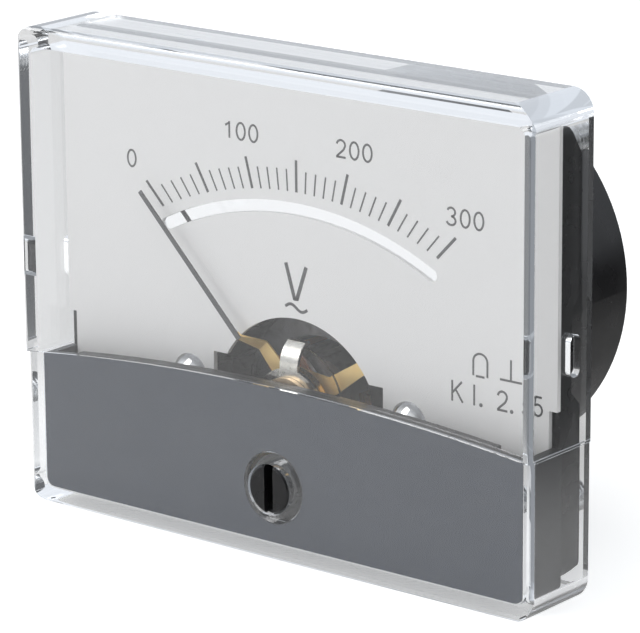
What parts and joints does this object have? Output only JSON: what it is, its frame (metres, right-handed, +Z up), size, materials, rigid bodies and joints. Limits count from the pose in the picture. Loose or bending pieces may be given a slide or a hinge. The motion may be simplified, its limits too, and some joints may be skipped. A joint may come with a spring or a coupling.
{
  "type": "analog panel meter",
  "caption": "Rectangular moving-coil panel voltmeter with a clear cover, domed dial opening, mirror scale, slotted zero adjuster, rear barrel, terminals and mounting studs.",
  "frame": {"origin": "middle of the front's outline, in the plane where the bezel rests on the panel", "axes": "+X to the right and +Z up as seen from the front, +Y back through the panel along the barrel"},
  "size_m": [0.06, 0.0403, 0.047],
  "materials": {
    "clear_plastic": "clear polished polystyrene",
    "grey_plastic": "fine satin moulding",
    "black_plastic": "moulded, slight gloss",
    "white_dial": "matt white print on sheet",
    "mirror": "polished",
    "nickel": "bright nickel plate",
    "soft_iron": "machined",
    "magnet": "ground",
    "brass": "bright",
    "aluminium": "drawn",
    "copper_wire": "enamelled wire",
    "pointer_grey": "matt dark grey",
    "steel": "turned",
    "bronze": "rolled ribbon",
    "board_green": "lacquered laminate",
    "diode_black": "moulded",
    "resistor_body": "lacquered",
    "wire_red": "insulation",
    "tinned": "tin plate"
  },
  "bodies": {
    "case": {"front_cover": "clear_plastic", "lower_mask": "grey_plastic", "base_housing": "black_plastic", "dial_plate": "white_dial", "mirror_strip": "mirror", "dial_screws": "nickel", "return_ring": "soft_iron", "core_magnet": "magnet", "core_shoes": "brass", "rear_hairspring": "bronze", "front_bridge": "brass", "rear_bridge": "brass", "bridge_spacers": "aluminium", "bridge_screws": "steel", "frame_screws": "steel", "jewel_screws": "brass", "circuit_board": "board_green", "rectifier_diodes": "diode_black", "series_resistor": "resistor_body", "movement_leads": "wire_red", "terminal_studs": "brass", "solder_tags": "tinned", "terminal_washers": "tinned", "terminal_nuts": "brass", "mounting_studs": "tinned"},
    "movement": {"coil_former": "aluminium", "coil_winding": "copper_wire", "pointer_carrier": "brass", "pointer": "pointer_grey", "balance_weights": "nickel", "coil_pivots": "steel", "rear_boss": "brass"},
    "lever": {"zero_lever": "nickel", "front_hairspring": "bronze"},
    "adjuster": {"zero_adjuster": "black_plastic"}
  },
  "joints": [
    {"name": "pointer_turn", "type": "hinge", "parent": "case", "child": "movement", "pos_m": [0, -0.004, -0.0097], "axis": [0, 1, 0], "range_deg": [-1.5, 90], "stiffness_Nm_per_rad": 0.00005},
    {"name": "adjuster_turn", "type": "hinge", "parent": "case", "child": "adjuster", "pos_m": [0, -0.006, -0.0167], "axis": [0, 1, 0], "range_deg": [-30, 30]},
    {"name": "lever_turn", "type": "hinge", "parent": "case", "child": "lever", "pos_m": [0, -0.004, -0.0097], "axis": [0, 1, 0], "range_deg": [-7.5, 7.5]}
  ],
  "couplings": [
    {"joint": "lever_turn", "follows": "adjuster_turn", "ratio": -0.25}
  ]
}
